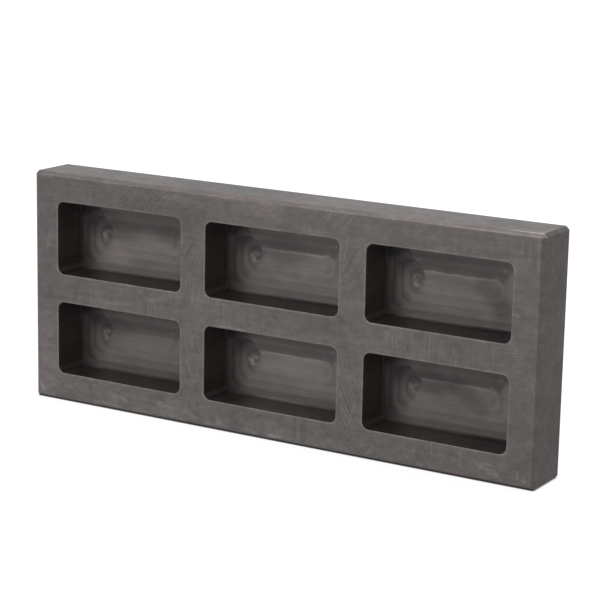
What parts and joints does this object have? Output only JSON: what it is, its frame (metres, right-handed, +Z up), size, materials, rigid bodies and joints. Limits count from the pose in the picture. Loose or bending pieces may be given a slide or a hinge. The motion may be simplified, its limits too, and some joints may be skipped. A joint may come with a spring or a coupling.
{
  "type": "graphite casting mould",
  "caption": "Flat graphite block with a grid of rectangular pockets milled into one face, for casting small bars; shown standing on its long edge.",
  "frame": {"origin": "centre of the long narrow edge face that the block stands on, at the bounding box's bottom centre", "axes": "+X along the length, pocket mouths face -Y, back face towards +Y, +Z up across the block's width"},
  "size_m": [0.24, 0.023, 0.1],
  "materials": {
    "graphite": "fine-grained machined graphite, satin, with milling marks and lighter worn edges"
  },
  "bodies": {
    "root": {"mould_block": "graphite"}
  },
  "joints": []
}
